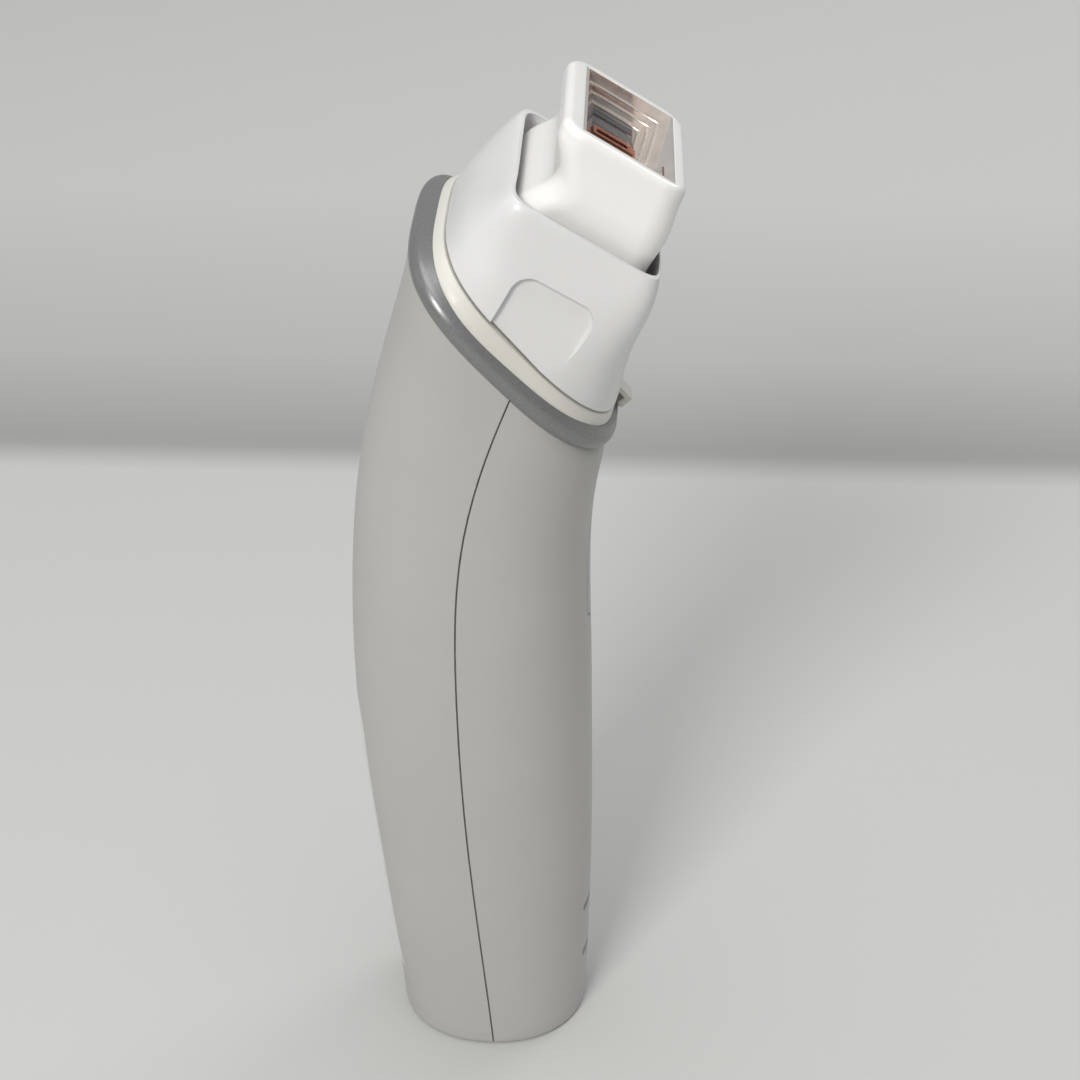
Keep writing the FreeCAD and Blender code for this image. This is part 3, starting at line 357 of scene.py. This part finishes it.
END_WALL = 13.4                                   # half the distance between the end walls, in mm
RECESS_STEPS = ((0.9, 0.55), (2.3, 0.4), (3.6, 0.3))   # height above the glass and depth, in mm
STEP_THICKNESS = 0.45 * MM
STEP_EDGE = 0.12 * MM
FLOOR_WIDTH = 8.2                                 # width of the recess at the glass, in mm
FLARE = 1.35                                      # width gained for each mm above the glass
SENSOR_U = 5.9 * MM
SENSOR_Y = -8.6 * MM
LONG_WALL_SLOPE = 54.0


def recess_steps(head):
    """Thin mirrored ledges up both end walls of the light recess."""
    for side in (-1, 1):
        for i, (height, depth) in enumerate(RECESS_STEPS):
            name = "recess_step_%s_%d" % ("far" if side > 0 else "near", i)
            span = (FLOOR_WIDTH + FLARE * height) * MM
            place = (0.0, side * (END_WALL * MM - depth * MM / 2), height * MM)
            size = (span, depth * MM, STEP_THICKNESS)
            soft_bar(name, head, place, size, STEP_EDGE, MATERIALS["mirror_skin"])


def sensor(head):
    """Clear skin-tone sensor on its copper seat, lying on the sloped long wall."""
    soft_bar("sensor_lens", head, (SENSOR_U, SENSOR_Y, 3.0 * MM), (3.0 * MM, 3.4 * MM, 0.7 * MM),
             0.25 * MM, MATERIALS["light_plastic"], LONG_WALL_SLOPE)
    soft_bar("sensor_seat", head, (SENSOR_U, SENSOR_Y, 2.75 * MM), (3.8 * MM, 4.2 * MM, 0.5 * MM),
             0.15 * MM, MATERIALS["copper"], LONG_WALL_SLOPE)


def window_details():
    head = HeadFrame()
    recess_steps(head)
    sensor(head)


# ------------------------------------------------------------------ surroundings
FLOOR_HALF = 6.0
SHADE_BAND_Y = 0.22          # where the painted shade band lies on the ground behind the handset
TONES_START = -0.4         # the stretch of Y over which the ground's painted light and shade run
TONES_END = 0.8
SHADE_BAND_TONES = ((-0.012, 0.53), (0.0, 0.32), (0.05, 0.45), (0.16, 0.57))   # place past the shade band's line, painted tone
BLUE_SHARE = 0.985         # the tones lean a little to yellow
ROOM_STRENGTH = 0.38


def ground_material():
    """Pale cloth with painted light and shade: lighter near the handset, a painted dark shade band behind
    it, lighter again far off.
    """
    s = Shader("ground", (0.6, 0.6, 0.59), 0.85)
    split = s.add("ShaderNodeSeparateXYZ")
    s.link(s.place, split.inputs["Vector"])
    depth = s.span(split.outputs["Y"], 0.0, 1.0, TONES_START, TONES_END)
    # Painted light: the ground grows lighter with distance behind the handset.
    ramp = s.tint(depth, (0.56, 0.56, 0.54), (0.63, 0.63, 0.62), 0.0, 1.0)
    shade_band_start = (SHADE_BAND_Y - TONES_START) / (TONES_END - TONES_START)
    # Painted shade band, darkest on its line, standing for the shade where the sheet curves up behind the
    # handset.
    for past, tone in SHADE_BAND_TONES:
        stop = ramp.color_ramp.elements.new(shade_band_start + past)
        stop.color = (tone, tone, tone * BLUE_SHARE, 1.0)
    s.rough(s.noise(30 * MM, 4.0), 0.8, 0.9)
    s.bump(s.noise(1.2 * MM, 3.0), 0.05 * MM, 0.5)
    return s.material


def ground():
    corners = [(-FLOOR_HALF, -FLOOR_HALF, 0), (FLOOR_HALF, -FLOOR_HALF, 0),
               (FLOOR_HALF, FLOOR_HALF, 0), (-FLOOR_HALF, FLOOR_HALF, 0)]
    mesh = bpy.data.meshes.new("ground")
    mesh.from_pydata(corners, [], [(0, 1, 2, 3)])
    obj = bpy.data.objects.new("ground", mesh)
    obj.location.z = cad_low.z
    bpy.context.scene.collection.objects.link(obj)
    obj.data.materials.append(ground_material())


def area_light(name, place, target, width, height, power, colour):
    data = bpy.data.lights.new(name, "AREA")
    data.shape = "RECTANGLE"
    data.size = width
    data.size_y = height
    data.energy = power
    data.color = colour
    obj = bpy.data.objects.new(name, data)
    obj.location = place
    obj.rotation_euler = (Vector(target) - Vector(place)).to_track_quat("-Z", "Y").to_euler()
    bpy.context.scene.collection.objects.link(obj)


def room():
    """Even light from all sides, and the plain view transform that the tones are set for."""
    world = bpy.data.worlds.new("room")
    world.use_nodes = True
    background = world.node_tree.nodes["Background"]
    background.inputs["Color"].default_value = (0.93, 0.94, 0.95, 1.0)
    background.inputs["Strength"].default_value = ROOM_STRENGTH
    bpy.context.scene.world = world
    bpy.context.scene.view_settings.view_transform = "Standard"


def lights():
    """Key from the front left, a wide top light, and two weak fills."""
    middle = (cad_low + cad_high) / 2
    area_light("key", (-0.4, -1.0, 1.0), middle, 0.42, 0.42, 12.0, (1.0, 0.985, 0.96))
    area_light("top", (0.0, 0.1, 1.3), middle, 1.0, 1.0, 6.5, (0.98, 0.99, 1.0))
    area_light("side", (-1.2, 0.2, 0.6), middle, 0.6, 0.9, 0.5, (0.97, 0.985, 1.0))
    area_light("window", (0.75, 0.7, 0.75), middle, 0.5, 0.5, 2.2, (1.0, 0.97, 0.94))


EYE = (0.02107, -0.30017, 0.30595)
LOOK_DOWN = 33.0           # degrees below the horizon
TURN = 2.3                 # degrees to the left
FOCAL_LENGTH = 66.67       # on a 36 mm sensor


def camera():
    """Looks down along +Y, from a little to the right of the handset."""
    data = bpy.data.cameras.new("camera")
    data.sensor_width = 36.0
    data.lens = FOCAL_LENGTH
    data.clip_start = 0.01
    data.clip_end = 50.0
    obj = bpy.data.objects.new("camera", data)
    obj.location = EYE
    obj.rotation_euler = (math.radians(90.0 - LOOK_DOWN), 0.0, math.radians(TURN))
    bpy.context.scene.collection.objects.link(obj)
    bpy.context.scene.camera = obj


dress_nodes()
window_details()
ground()
lights()
room()
camera()
